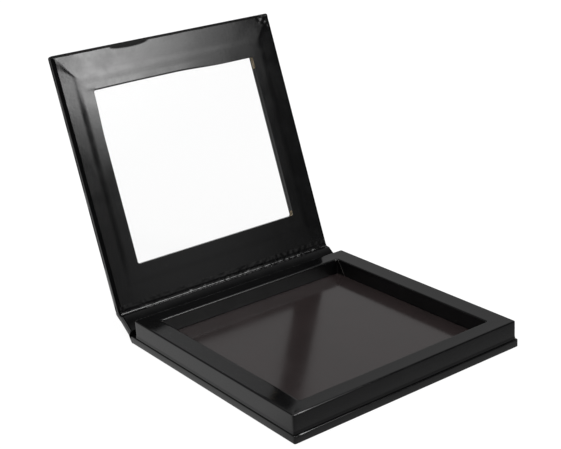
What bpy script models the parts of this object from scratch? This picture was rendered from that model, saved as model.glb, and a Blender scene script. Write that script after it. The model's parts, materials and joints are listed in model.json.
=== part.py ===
"""Magnetic makeup palette: a book-style board case wrapped in laminated paper.

The base carries a walled tray with a magnetic sheet in it. A narrow spine turns on the lower paper
crease, and the windowed lid turns on the upper one. Origin: centre of the base's underside.
+X runs along the hinges, +Y goes to the back and +Z is up. All lengths are in metres.
"""
from math import cos, pi, radians, sin

import bmesh
import bpy
from mathutils import Vector

for leftover in list(bpy.data.objects):
    bpy.data.objects.remove(leftover, do_unlink=True)

# Papers, boards and the play between them
paper = 0.00025
glue_gap = 0.00015
overrun = 0.0020
wrap_round_share = 1.8
board_edge_round = 0.00010
pocket_clearance = 0.00015

# Case: base and lid have one width and one depth
case_width = 0.1200
cover_depth = 0.1191
base_board_thickness = 0.0027
base_turn_in = 0.0140
mitre_slit = 0.00020
liner_clearance = 0.00030

# Tray
tray_height = 0.0084
tray_side_inset = 0.00065
tray_front_inset = 0.00095
rear_ledge = 0.0031
side_wall_width = 0.0091
front_wall_width = 0.00775
rear_wall_width = 0.0078
wall_joint_gap = 0.00015

# Magnetic sheet and its tape
sheet_thickness = 0.0007
tape_thickness = 0.00015
sheet_clearance = 0.0003
tape_margin = 0.0030
sheet_corner_round = 0.0010

# Closure magnets: one pair in the tray's front wall, one in the lid
magnet_radius = 0.0025
tray_magnet_thickness = 0.0015
magnet_spread = 0.0700

# Hinges
closed_gap = 0.0003
hinge_drop = 0.00105
hinge_reach = 0.0010
crease_clearance = 0.00035
spine_board_thickness = 0.0024
spine_face_offset = 0.0003
spine_turn_in = 0.0140
lid_face_offset = 0.0013
spine_lean = radians(53.9)
lid_lean = radians(18.8)

# Lid
outer_board_thickness = 0.0010
inner_board_thickness = 0.0008
film_thickness = 0.00025
film_overlap = 0.0060
window_side_margin = 0.0152
window_front_margin = 0.0185
window_hinge_margin = 0.0191
window_corner_round = 0.0010
lid_turn_in = 0.0095
liner_inset = 0.0009
corner_notch = 0.0010

# Worked out from the sizes above
wrap_round = wrap_round_share * paper
skin = paper + glue_gap
half_width = case_width / 2
half_depth = cover_depth / 2
base_top = 2 * skin + base_board_thickness
tray_top = base_top + tray_height
lid_thickness = (
    3 * paper + 5 * glue_gap + outer_board_thickness + film_thickness + inner_board_thickness
)
closed_height = tray_top + closed_gap + lid_thickness
lower_axis = Vector((0, half_depth + hinge_reach, base_top - hinge_drop))
hinge_spacing = closed_height - lid_face_offset - lower_axis.z
crease_radius = hinge_reach - crease_clearance

palette = bpy.data.collections.new("magnetic_makeup_palette")
cutters = bpy.data.collections.new("cutters")
bpy.context.scene.collection.children.link(palette)
bpy.context.scene.collection.children.link(cutters)


def finish(name, colour, roughness, metallic=0, alpha=1):
    """A Principled material with one colour."""
    made = bpy.data.materials.new(name)
    made.use_nodes = True
    shader = made.node_tree.nodes["Principled BSDF"]
    shader.inputs["Base Color"].default_value = (*colour, 1)
    shader.inputs["Roughness"].default_value = roughness
    shader.inputs["Metallic"].default_value = metallic
    shader.inputs["Alpha"].default_value = alpha
    made.diffuse_color = (*colour, alpha)
    return made


def pivot(name, location, lean, parent=None):
    """An empty on a hinge axis. Its own Z runs up the board and its Y points out of the case."""
    empty = bpy.data.objects.new(name, None)
    palette.objects.link(empty)
    empty.location = location
    empty.rotation_euler = (-lean, 0, 0)
    empty.parent = parent
    return empty


def add(name, mesh, material=None, parent=None):
    """Link a mesh as a sub-part, or as a cutter when it has no material."""
    obj = bpy.data.objects.new(name, mesh)
    if material:
        mesh.materials.append(material)
        palette.objects.link(obj)
    else:
        cutters.objects.link(obj)
        obj.hide_render = True
        obj.display_type = "WIRE"
    obj.parent = parent
    return obj


def block(name, low, high, material=None, parent=None, corner=0, along="z", edge=0):
    """A box between two corners. Its edges along one axis get a corner radius, the rest an edge radius."""
    low = Vector(low)
    high = Vector(high)
    mesh = bpy.data.meshes.new(name)
    shape = bmesh.new()
    bmesh.ops.create_cube(shape, size=1)
    bmesh.ops.scale(shape, vec=high - low, verts=shape.verts)
    bmesh.ops.translate(shape, vec=(low + high) / 2, verts=shape.verts)
    if corner:
        axis = "xyz".index(along)
        upright = [e for e in shape.edges if (e.verts[0].co - e.verts[1].co)[axis]]
        bmesh.ops.bevel(
            shape, geom=upright, offset=corner, segments=6, profile=0.5, affect="EDGES", clamp_overlap=True
        )
    shape.to_mesh(mesh)
    shape.free()
    obj = add(name, mesh, material, parent)
    if edge:
        soften(obj, edge)
    return obj


def soften(obj, radius):
    """Round every sharp edge made so far."""
    rounding = obj.modifiers.new("edge_round", "BEVEL")
    rounding.width = radius
    rounding.segments = 3
    rounding.limit_method = "ANGLE"
    rounding.angle_limit = radians(40)


def cut(obj, cutter):
    """Take the cutter's volume away."""
    boolean = obj.modifiers.new("cut_" + cutter.name, "BOOLEAN")
    boolean.operation = "DIFFERENCE"
    boolean.solver = "EXACT"
    boolean.object = cutter


def disc(name, centre, radius, thickness, material=None, parent=None, along="z"):
    """A short cylinder about one axis."""
    mesh = bpy.data.meshes.new(name)
    shape = bmesh.new()
    bmesh.ops.create_cone(
        shape, cap_ends=True, segments=40, radius1=radius, radius2=radius, depth=thickness
    )
    shape.to_mesh(mesh)
    shape.free()
    mesh.shade_smooth()
    mesh.set_sharp_from_angle(angle=radians(40))
    obj = add(name, mesh, material, parent)
    obj.location = centre
    if along == "y":
        obj.rotation_euler = (pi / 2, 0, 0)
    return obj


def strip(name, profile, half_length, thickness, material, parent=None):
    """A paper strip: an open profile in the YZ plane, drawn out along X and given its thickness."""
    mesh = bpy.data.meshes.new(name)
    sheet = bmesh.new()
    line = [sheet.verts.new((-half_length, y, z)) for y, z in profile]
    edges = [sheet.edges.new(pair) for pair in zip(line, line[1:])]
    drawn = bmesh.ops.extrude_edge_only(sheet, edges=edges)["geom"]
    far_side = [item for item in drawn if isinstance(item, bmesh.types.BMVert)]
    bmesh.ops.translate(sheet, vec=(2 * half_length, 0, 0), verts=far_side)
    bmesh.ops.recalc_face_normals(sheet, faces=sheet.faces)
    sheet.to_mesh(mesh)
    sheet.free()
    mesh.shade_smooth()
    obj = add(name, mesh, material, parent)
    body = obj.modifiers.new("paper_thickness", "SOLIDIFY")
    body.thickness = thickness
    body.offset = 0
    body.use_even_offset = True
    return obj


def arc(radius, start, end, steps):
    """Points in the YZ plane at even angles about the origin, from +Y towards +Z."""
    angles = [start + (end - start) * i / steps for i in range(steps + 1)]
    return [(radius * cos(a), radius * sin(a)) for a in angles]


wrap_paper = finish("black_laminated_paper", (0.018, 0.018, 0.020), 0.28)
liner_paper = finish("black_liner_paper", (0.020, 0.020, 0.021), 0.30)
greyboard = finish("greyboard", (0.42, 0.36, 0.29), 0.90)
magnet_rubber = finish("magnetic_rubber", (0.045, 0.038, 0.038), 0.38)
tape_film = finish("tape", (0.75, 0.72, 0.62), 0.55)
nickel = finish("nickel", (0.62, 0.60, 0.56), 0.22, metallic=1)
clear_film = finish("clear_film", (0.95, 0.95, 0.95), 0.05, alpha=0.25)

# Base board in its wrap. The wrap runs under the board, up its edges and in over its top
# on three sides, with mitred corners. At the back it goes on into the crease.
board_side = half_width - skin
board_rear = half_depth - skin
board_top = skin + base_board_thickness
block(
    "base_board", (-board_side, -board_rear, skin), (board_side, board_rear, board_top), greyboard,
    edge=board_edge_round,
)
base_wrap = block(
    "base_wrap", (-half_width, -half_depth, 0), (half_width, half_depth, base_top), wrap_paper,
    edge=wrap_round,
)
inner_side = half_width - paper
inner_rear = half_depth - paper
cut(base_wrap, block(
    "base_cavity", (-inner_side, -inner_rear, paper), (inner_side, inner_rear, base_top - paper),
))
open_side = half_width - base_turn_in
open_front = -half_depth + base_turn_in
cut(base_wrap, block(
    "base_opening", (-open_side, open_front, base_top - paper - glue_gap),
    (open_side, inner_rear, base_top + overrun),
))
mitre_reach = 2 * base_turn_in
for side in (-1, 1):
    slit = block(
        f"base_mitre_{'left' if side < 0 else 'right'}",
        (-mitre_slit / 2, -mitre_reach, -glue_gap - paper), (mitre_slit / 2, 0, overrun),
    )
    slit.location = (side * open_side, open_front, base_top)
    slit.rotation_euler = (0, 0, side * radians(45))
    keep_off = block(
        slit.name + "_end",
        (-mitre_reach, -mitre_reach, -overrun),
        (mitre_reach, -base_turn_in, 2 * overrun),
    )
    keep_off.location = (side * open_side, open_front + wrap_round + paper, base_top)
    cut(slit, keep_off)
    cut(base_wrap, slit)
block(
    "base_liner",
    (-open_side + liner_clearance, open_front + liner_clearance, board_top + glue_gap),
    (open_side - liner_clearance, inner_rear - liner_clearance, base_top),
    liner_paper,
)

# Tray: four greyboard walls, butted at the corners and wrapped as one frame.
tray_side = half_width - tray_side_inset
tray_front = -half_depth + tray_front_inset
tray_rear = half_depth - rear_ledge
well_side = tray_side - side_wall_width
well_front = tray_front + front_wall_width
well_rear = tray_rear - rear_wall_width
wall_foot = base_top + glue_gap
wall_top = tray_top - skin
tray_frame = {
    "tray_front_wall": ((-tray_side + skin, tray_front + skin), (tray_side - skin, well_front - skin)),
    "tray_rear_wall": ((-tray_side + skin, well_rear + skin), (tray_side - skin, tray_rear - skin)),
    "tray_left_wall": (
        (-tray_side + skin, well_front - skin + wall_joint_gap),
        (-well_side - skin, well_rear + skin - wall_joint_gap),
    ),
    "tray_right_wall": (
        (well_side + skin, well_front - skin + wall_joint_gap),
        (tray_side - skin, well_rear + skin - wall_joint_gap),
    ),
}
walls = {
    name: block(name, (*low, wall_foot), (*high, wall_top), greyboard, edge=board_edge_round)
    for name, (low, high) in tray_frame.items()
}


def tray_skin(name, outer, inner, top, foot, thickness, material):
    """Paper over a frame: its top face is a holed plate, and both rims are drawn down as skirts."""
    mesh = bpy.data.meshes.new(name)
    skin_shape = bmesh.new()
    bmesh.ops.create_grid(skin_shape, x_segments=1, y_segments=1, size=1)
    plate = skin_shape.faces[:]
    bmesh.ops.inset_region(skin_shape, faces=plate, thickness=wrap_round, use_boundary=True)
    for corner in skin_shape.verts:
        low, high = inner if plate[0] in corner.link_faces else outer
        corner.co.x = high[0] if corner.co.x > 0 else low[0]
        corner.co.y = high[1] if corner.co.y > 0 else low[1]
        corner.co.z = top
    bmesh.ops.delete(skin_shape, geom=plate, context="FACES_ONLY")
    rims = [edge for edge in skin_shape.edges if edge.is_boundary]
    drawn = bmesh.ops.extrude_edge_only(skin_shape, edges=rims)["geom"]
    hems = [item for item in drawn if isinstance(item, bmesh.types.BMVert)]
    bmesh.ops.translate(skin_shape, vec=(0, 0, foot - top), verts=hems)
    bmesh.ops.recalc_face_normals(skin_shape, faces=skin_shape.faces)
    skin_shape.to_mesh(mesh)
    skin_shape.free()
    obj = add(name, mesh, material)
    soften(obj, wrap_round)
    body = obj.modifiers.new("paper_thickness", "SOLIDIFY")
    body.thickness = thickness
    body.offset = -1
    body.use_even_offset = True
    return obj


tray_wrap = tray_skin(
    "tray_wrap", ((-tray_side, tray_front), (tray_side, tray_rear)),
    ((-well_side, well_front), (well_side, well_rear)), tray_top, wall_foot, paper, wrap_paper,
)

# Magnetic sheet on its tape, on the well's floor
sheet_side = well_side - sheet_clearance
sheet_front = well_front + sheet_clearance
sheet_rear = well_rear - sheet_clearance
tape_foot = base_top + glue_gap
sheet_foot = tape_foot + tape_thickness + glue_gap
sheet_top = sheet_foot + sheet_thickness
block(
    "magnet_sheet",
    (-sheet_side, sheet_front, sheet_foot),
    (sheet_side, sheet_rear, sheet_top),
    magnet_rubber, corner=sheet_corner_round,
)
block(
    "sheet_tape",
    (-sheet_side + tape_margin, sheet_front + tape_margin, tape_foot),
    (sheet_side - tape_margin, sheet_rear - tape_margin, tape_foot + tape_thickness),
    tape_film,
)

# Closure magnets of the tray, each in a pocket sunk from the top of the front wall
magnet_y = (tray_front + well_front) / 2
magnet_z = wall_top - pocket_clearance - tray_magnet_thickness / 2
for side, label in ((-1, "left"), (1, "right")):
    magnet_x = side * magnet_spread / 2
    cut(walls["tray_front_wall"], disc(
        f"tray_pocket_{label}", (magnet_x, magnet_y, magnet_z - pocket_clearance + overrun / 2),
        magnet_radius + pocket_clearance, tray_magnet_thickness + overrun,
    ))
    disc(
        f"tray_magnet_{label}", (magnet_x, magnet_y, magnet_z), magnet_radius, tray_magnet_thickness, nickel,
    )

# Spine: a narrow board in its own stretch of the wrap, which turns in at both ends. Its liner
# covers the turn-ins. It is drawn upright at the lower crease and leant back by its pivot.
spine_pivot = pivot("spine_pivot", lower_axis, spine_lean)
spine_low = hinge_drop + closed_gap
spine_high = hinge_spacing - (lid_thickness - lid_face_offset) - closed_gap
spine_out = spine_face_offset
spine_board_out = spine_out - skin
spine_board_in = spine_board_out - spine_board_thickness
spine_wrap_in = spine_board_in - skin
end_trim = paper / 2
block(
    "spine_board",
    (-half_width + skin, spine_board_in, spine_low + end_trim),
    (half_width - skin, spine_board_out, spine_high - end_trim),
    greyboard, spine_pivot, edge=board_edge_round,
)
spine_wrap = block(
    "spine_wrap",
    (-half_width, spine_wrap_in, spine_low - overrun),
    (half_width, spine_out, spine_high + overrun),
    wrap_paper, spine_pivot, edge=wrap_round,
)
cut(spine_wrap, block(
    "spine_cavity", (-half_width + paper, spine_wrap_in + paper, spine_low - 2 * overrun),
    (half_width - paper, spine_out - paper, spine_high + 2 * overrun), parent=spine_pivot,
))
cut(spine_wrap, block(
    "spine_opening", (-half_width + spine_turn_in, spine_wrap_in - overrun, spine_low - 2 * overrun),
    (half_width - spine_turn_in, spine_wrap_in + skin, spine_high + 2 * overrun), parent=spine_pivot,
))
for label, foot, head in (
    ("low", spine_low - 2 * overrun, spine_low),
    ("high", spine_high, spine_high + 2 * overrun),
):
    cut(spine_wrap, block(
        f"spine_trim_{label}", (-half_width - overrun, spine_wrap_in - overrun, foot),
        (half_width + overrun, spine_out + overrun, head), parent=spine_pivot,
    ))
block(
    "spine_liner",
    (-half_width + liner_inset, spine_wrap_in - skin, spine_low),
    (half_width - liner_inset, spine_wrap_in - glue_gap, spine_high),
    liner_paper, spine_pivot,
)

# Creases: where the boards stop, wrap and liner are glued to each other and bend about the axis.
# The lower one rolls round the back of the base, and the upper one has a tail down to the spine.
lower_crease = strip(
    "lower_hinge_crease", arc(crease_radius, radians(-150), radians(35), 10), half_width - wrap_round, paper,
    wrap_paper,
)
lower_crease.location = lower_axis
tail_out = spine_out - paper / 2
upper_arc = arc(crease_radius, radians(-60), radians(75), 8)
tail = [(tail_out, spine_high - hinge_spacing + glue_gap), (tail_out, -crease_radius)]
upper_crease = strip(
    "upper_hinge_crease", tail + upper_arc, half_width - wrap_round, paper, wrap_paper, spine_pivot,
)
upper_crease.location = (0, 0, hinge_spacing)

# Lid, drawn upright above the upper crease. Counting in from the outside: wrap, outer board,
# film, inner board, the wrap's turn-in, liner.
lid_pivot = pivot("lid_pivot", (0, 0, hinge_spacing), lid_lean - spine_lean, spine_pivot)
lid_out = lid_face_offset
lid_low = hinge_reach
lid_high = lid_low + cover_depth
outer_board_out = lid_out - skin
outer_board_in = outer_board_out - outer_board_thickness
film_out = outer_board_in - glue_gap
film_in = film_out - film_thickness
inner_board_out = film_in - glue_gap
inner_board_in = inner_board_out - inner_board_thickness
lid_wrap_in = inner_board_in - skin
liner_out = lid_wrap_in - glue_gap
liner_in = liner_out - paper
window_side = half_width - window_side_margin
window_low = lid_low + window_hinge_margin
window_high = lid_high - window_front_margin


def window_hole(name, grow, near, far):
    """A cutter as large as the window, grown all round, between two depths."""
    return block(
        name, (-window_side - grow, near, window_low - grow), (window_side + grow, far, window_high + grow),
        parent=lid_pivot, corner=window_corner_round + grow, along="y",
    )


def lid_plate(name, margin, near, far, material=None, edge=0):
    """A plate that stops short of the lid's edges by a margin, between two depths."""
    return block(
        name, (-half_width + margin, near, lid_low + margin), (half_width - margin, far, lid_high - margin),
        material, lid_pivot, edge=edge,
    )


def notch_corners(obj, near, far):
    """Cut the window flange open at its corners, where a flat sheet can't be turned through."""
    for x, x_side in ((-window_side, "left"), (window_side, "right")):
        for z, z_side in ((window_low, "low"), (window_high, "high")):
            reach = corner_notch
            cut(obj, block(
                f"{obj.name}_notch_{x_side}_{z_side}",
                (x - reach, near, z - reach), (x + reach, far, z + reach), parent=lid_pivot,
            ))


outer_board = lid_plate(
    "lid_outer_board", skin, outer_board_in, outer_board_out, greyboard, board_edge_round,
)
cut(outer_board, window_hole(
    "outer_board_window", skin, outer_board_in - overrun, outer_board_out + overrun,
))

inner_board = lid_plate(
    "lid_inner_board", skin, inner_board_in, inner_board_out, greyboard, board_edge_round,
)
cut(inner_board, window_hole(
    "inner_board_window", skin, inner_board_in - overrun, inner_board_out + overrun,
))

block(
    "window_film",
    (-window_side - film_overlap, film_in, window_low - film_overlap),
    (window_side + film_overlap, film_out, window_high + film_overlap),
    clear_film, lid_pivot, corner=window_corner_round, along="y",
)

lid_wrap = lid_plate("lid_wrap", 0, lid_wrap_in, lid_out, wrap_paper, wrap_round)
board_space = lid_plate("outer_board_space", paper, outer_board_in - glue_gap, lid_out - paper)
cut(board_space, window_hole("window_flange", paper, outer_board_in - overrun, lid_out + overrun))
cut(lid_wrap, board_space)
cut(lid_wrap, lid_plate("inner_stack_space", paper, lid_wrap_in + paper, outer_board_in - glue_gap / 2))
cut(lid_wrap, window_hole("wrap_window", 0, outer_board_in - overrun, lid_out + overrun))
cut(lid_wrap, lid_plate("lid_opening", lid_turn_in, lid_wrap_in - overrun, lid_wrap_in + skin))
notch_corners(lid_wrap, outer_board_in - overrun, lid_out - paper)

lid_liner = lid_plate("lid_liner", liner_inset, liner_in, inner_board_out, liner_paper)
liner_space = lid_plate("liner_space", 0, liner_out, inner_board_out + overrun)
cut(liner_space, window_hole("liner_flange", paper, liner_out - overrun, inner_board_out + 2 * overrun))
cut(lid_liner, liner_space)
cut(lid_liner, window_hole("liner_window", 0, liner_in - overrun, inner_board_out + overrun))
notch_corners(lid_liner, liner_out, inner_board_out + overrun)

# Closure magnets of the lid, let into its inner board and over the tray's when the lid is shut
lid_magnet_y = (inner_board_in + inner_board_out) / 2
lid_magnet_z = lid_high - (magnet_y + half_depth)
for side, label in ((-1, "left"), (1, "right")):
    place = (side * magnet_spread / 2, lid_magnet_y, lid_magnet_z)
    cut(inner_board, disc(
        f"lid_pocket_{label}", place, magnet_radius + pocket_clearance, inner_board_thickness + overrun,
        parent=lid_pivot, along="y",
    ))
    disc(f"lid_magnet_{label}", place, magnet_radius, inner_board_thickness, nickel, lid_pivot, along="y")
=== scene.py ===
"""Looks for the magnetic makeup palette: an empty book-style case, open, with a windowed lid.

Lengths are in metres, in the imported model's frame: +X runs along the hinges, +Y goes to the back.
The file follows the palette as it is made: boards, base, tray, magnetic sheet, spine, lid.
"""
import json
from math import ceil, cos, pi, radians, sin, tan

import bmesh
import bpy
from mathutils import Matrix, Vector, noise


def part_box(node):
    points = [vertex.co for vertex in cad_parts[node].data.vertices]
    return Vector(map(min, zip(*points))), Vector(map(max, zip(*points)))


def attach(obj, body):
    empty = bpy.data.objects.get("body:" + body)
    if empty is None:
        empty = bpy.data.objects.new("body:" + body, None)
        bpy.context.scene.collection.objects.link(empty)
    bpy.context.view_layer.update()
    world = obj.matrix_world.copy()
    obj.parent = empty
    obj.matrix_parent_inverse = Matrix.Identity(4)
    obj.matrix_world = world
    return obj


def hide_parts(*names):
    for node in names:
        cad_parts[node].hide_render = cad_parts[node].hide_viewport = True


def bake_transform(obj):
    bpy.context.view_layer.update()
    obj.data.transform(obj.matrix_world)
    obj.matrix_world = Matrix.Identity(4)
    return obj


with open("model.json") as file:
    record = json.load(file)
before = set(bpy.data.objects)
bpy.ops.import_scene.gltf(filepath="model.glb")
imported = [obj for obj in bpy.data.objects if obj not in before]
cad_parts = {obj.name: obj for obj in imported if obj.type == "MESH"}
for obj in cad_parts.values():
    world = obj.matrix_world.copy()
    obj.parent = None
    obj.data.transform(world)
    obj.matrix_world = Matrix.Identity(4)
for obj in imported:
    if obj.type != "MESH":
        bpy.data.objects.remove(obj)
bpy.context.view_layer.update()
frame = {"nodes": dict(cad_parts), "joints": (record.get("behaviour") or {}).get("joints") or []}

# Camera: a short telephoto lens, a little above the palette and off its front left corner.
# Its place was fitted to the photograph's corners. Focal length and shifts are in its pixels.
mm = 0.001
photo_width = 561
focal_pixels = 1237.0
centre_shift_x = 14.9
centre_shift_y = -25.2
sensor_width = 36
camera_place = Vector((-296.83, -387.63, 237.35)) * mm
yaw = radians(35.145)
pitch = radians(19.087)
roll = radians(-3.81)
camera_data = bpy.data.cameras.new("camera")
camera_data.sensor_width = sensor_width
camera_data.lens = focal_pixels / photo_width * sensor_width
camera_data.shift_x = centre_shift_x / photo_width
camera_data.shift_y = centre_shift_y / photo_width
camera = bpy.data.objects.new("camera", camera_data)
bpy.context.scene.collection.objects.link(camera)
camera.matrix_world = (
    Matrix.Translation(camera_place)
    @ Matrix.Rotation(-yaw, 4, "Z") @ Matrix.Rotation(pi / 2 - pitch, 4, "X") @ Matrix.Rotation(roll, 4, "Z")
)
bpy.context.scene.camera = camera
bpy.context.scene.view_settings.view_transform = "Standard"


# Studio: a dim room, a soft light overhead on the left, and a softbox at the front right with a low
# strip and a table edge below it. The lid's upper left mirrors the strip, and the folds the softbox.
def linear(hex_colour):
    """An sRGB hex colour as linear red, green and blue, and an alpha of 1."""
    parts = [int(hex_colour[i:i + 2], 16) / 255 for i in (1, 3, 5)]
    return (*[p / 12.92 if p <= 0.04045 else ((p + 0.055) / 1.055) ** 2.4 for p in parts], 1)


def node(tree, kind, inputs, **settings):
    """Add a node and return its outputs. Each input is a value, or an output to link from."""
    made = tree.nodes.new("ShaderNode" + kind)
    for name, value in settings.items():
        setattr(made, name, value)
    for name, value in inputs.items():
        if isinstance(value, bpy.types.NodeSocket):
            tree.links.new(value, made.inputs[name])
        else:
            made.inputs[name].default_value = value
    return made.outputs


smooth = {"interpolation_type": "SMOOTHSTEP"}
product = {"operation": "MULTIPLY"}
larger = {"operation": "MAXIMUM"}
sum_of_product = {"operation": "MULTIPLY_ADD"}
blend_numbers = {"data_type": "FLOAT"}
world = bpy.data.worlds.new("studio")
bpy.context.scene.world = world
world.use_nodes = True
air = world.node_tree
air.nodes.clear()
way = node(air, "SeparateXYZ", {"Vector": node(air, "TexCoord", {})["Generated"]})
rightward, backward, upward = way["X"], way["Y"], way["Z"]

# The room is darkest behind the lens, and darker on the left
room_depth = {"Value": backward, "From Min": -0.12, "From Max": 0.08, "To Min": 0.065, "To Max": 0.33}
room_width = {"Value": rightward, "From Min": 0.20, "From Max": 0.45, "To Min": 0.5, "To Max": 1.0}
back_wall = node(air, "MapRange", room_depth, **smooth)["Result"]
left_wall = node(air, "MapRange", room_width, **smooth)["Result"]
level = node(air, "Math", {0: back_wall, 1: left_wall}, **product)[0]

# Each light is a strength and its soft edges: along what, where it is dark and where it is full
slanted = node(air, "Math", {0: upward, 1: 0.5, 2: rightward}, **sum_of_product)[0]
ahead = (backward, -0.15, -0.35)
front_right = ((rightward, 0.565, 0.445), (slanted, 0.570, 0.612), ahead)
lights = {
    "low_strip": (12.0, (*front_right, (upward, 0.285, 0.378), (upward, 0.392, 0.380))),
    "softbox": (14.0, (*front_right, (upward, 0.46, 0.52), (upward, 0.68, 0.60))),
    "table_edge": (0.35, ((rightward, 0.36, 0.46), (rightward, 0.58, 0.50), ahead, (upward, 0.05, 0.20))),
    "overhead_left": (1.4, ((rightward, 0.25, -0.05), (backward, 0.5, 0.2), (upward, 0.45, 0.65))),
}
for strength, edges in lights.values():
    lit = strength
    for along, dark, full in edges:
        edge = node(air, "MapRange", {"Value": along, "From Min": dark, "From Max": full})["Result"]
        lit = node(air, "Math", {0: lit, 1: edge}, **product)[0]
    level = node(air, "Math", {0: level, 1: lit}, operation="ADD")[0]
rays = node(air, "LightPath", {})
straight = node(air, "Math", {0: rays["Is Camera Ray"], 1: rays["Is Transmission Ray"]}, **larger)[0]
shown = node(air, "Mix", {"Factor": straight, "A": level, "B": 1.0}, **blend_numbers)["Result"]
glow = node(air, "Background", {"Color": linear("#ffffff"), "Strength": shown})["Background"]
node(air, "OutputWorld", {"Surface": glow})

# The sweep is white paper. It reads as white to the lens but for the palette's shadow. What it
# gives the palette to mirror is a painted shade: a glow that falls off away from the light and towards the
# lens.
sweep_reach = 6.0
sweep_drop = 0.02 * mm
seen_share = 0.80
seen_level = 1.15
floor_mesh = bpy.data.meshes.new("floor")
floor_shape = bmesh.new()
bmesh.ops.create_grid(floor_shape, x_segments=4, y_segments=4, size=sweep_reach)
floor_shape.to_mesh(floor_mesh)
floor_shape.free()
floor = bpy.data.objects.new("floor", floor_mesh)
bpy.context.scene.collection.objects.link(floor)
floor.location.z = -sweep_drop
sweep_paper = bpy.data.materials.new("white_sweep_paper")
sweep_paper.use_nodes = True
sweep = sweep_paper.node_tree
sweep.nodes.clear()
spot = node(sweep, "TexCoord", {})["Object"]
# Painted shade: the glow that glossy rays see dims with distance and is darkest in front of the palette,
# towards the lens.
near = node(sweep, "MapRange", {
    "Value": node(sweep, "VectorMath", {0: spot}, operation="LENGTH")["Value"],
    "From Min": 700 * mm, "From Max": 160 * mm, "To Min": 0.5,
}, **smooth)["Result"]
behind = node(sweep, "MapRange", {
    "Value": node(sweep, "SeparateXYZ", {"Vector": spot})["Y"],
    "From Min": -85 * mm, "From Max": -25 * mm, "To Min": 0.20, "To Max": 0.65,
}, **smooth)["Result"]
mirrored_painted_shade = node(sweep, "Math", {0: near, 1: behind}, **product)[0]
rays = node(sweep, "LightPath", {})
glossy = rays["Is Glossy Ray"]
straight = node(sweep, "Math", {0: rays["Is Camera Ray"], 1: rays["Is Transmission Ray"]}, **larger)[0]
own_level = node(sweep, "Mix", {"Factor": glossy, "A": seen_level, "B": mirrored_painted_shade}, **blend_numbers)["Result"]
own_share = node(sweep, "Math", {0: straight, 1: seen_share, 2: glossy}, **sum_of_product)[0]
matt_white = node(sweep, "BsdfDiffuse", {"Color": linear("#fbfbfb")})["BSDF"]
shown_white = node(sweep, "Emission", {"Color": linear("#ffffff"), "Strength": own_level})["Emission"]
both = node(sweep, "MixShader", {"Fac": own_share, 1: matt_white, 2: shown_white})["Shader"]
node(sweep, "OutputMaterial", {"Surface": both})
floor_mesh.materials.append(sweep_paper)


# Greyboard: the base board, the tray's four walls, the spine board and the lid's two frames.
# Grey pulp board, pressed from waste paper and die cut. The wraps hide all but its cut edges at
# the window's corners. It gives the eye a dry, fibrous beige with darker flecks.
def surface(name, **settings):
    """A Principled material: the material, its tree, its shader's inputs and the place in metres."""
    made = bpy.data.materials.new(name)
    made.use_nodes = True
    tree = made.node_tree
    values = tree.nodes["Principled BSDF"].inputs
    for socket, value in settings.items():
        values[socket].default_value = value
    return made, tree, values, node(tree, "TexCoord", {})["Object"]


def dress(names, material):
    """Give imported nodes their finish."""
    for name in names:
        slots = frame["nodes"][name].data.materials
        slots.clear()
        slots.append(material)


# Mix takes its two colours at sockets 6 and 7, and gives the blend at 2
colours = {"data_type": "RGBA"}
greyboard, pulp, pulp_values, place = surface("greyboard_pulp", IOR=1.45, Roughness=0.92)
blotches = node(pulp, "TexNoise", {"Vector": place, "Scale": 1 / (1.6 * mm), "Detail": 3.0})["Fac"]
fibres = node(pulp, "TexNoise", {"Vector": place, "Scale": 1 / (0.25 * mm), "Detail": 1.0})["Fac"]
pale = node(pulp, "MapRange", {"Value": blotches, "From Min": 0.35, "From Max": 0.65}, **smooth)["Result"]
fleck = node(pulp, "MapRange", {"Value": fibres, "From Min": 0.62, "From Max": 0.72}, **smooth)["Result"]
beige = node(pulp, "Mix", {"Factor": pale, 6: linear("#b3a185"), 7: linear("#cfc0a6")}, **colours)[2]
flecked = node(pulp, "Mix", {"Factor": fleck, 6: beige, 7: linear("#857457")}, **colours)[2]
pulp.links.new(flecked, pulp_values["Base Color"])
lumps = node(pulp, "Bump", {"Height": blotches, "Distance": 0.02 * mm})["Normal"]
fuzz = node(pulp, "Bump", {"Height": fibres, "Distance": 0.015 * mm, "Normal": lumps})["Normal"]
pulp.links.new(fuzz, pulp_values["Normal"])
dress((
    "base_board", "tray_front_wall", "tray_rear_wall", "tray_left_wall", "tray_right_wall",
    "spine_board", "lid_outer_board", "lid_inner_board",
), greyboard)


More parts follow.
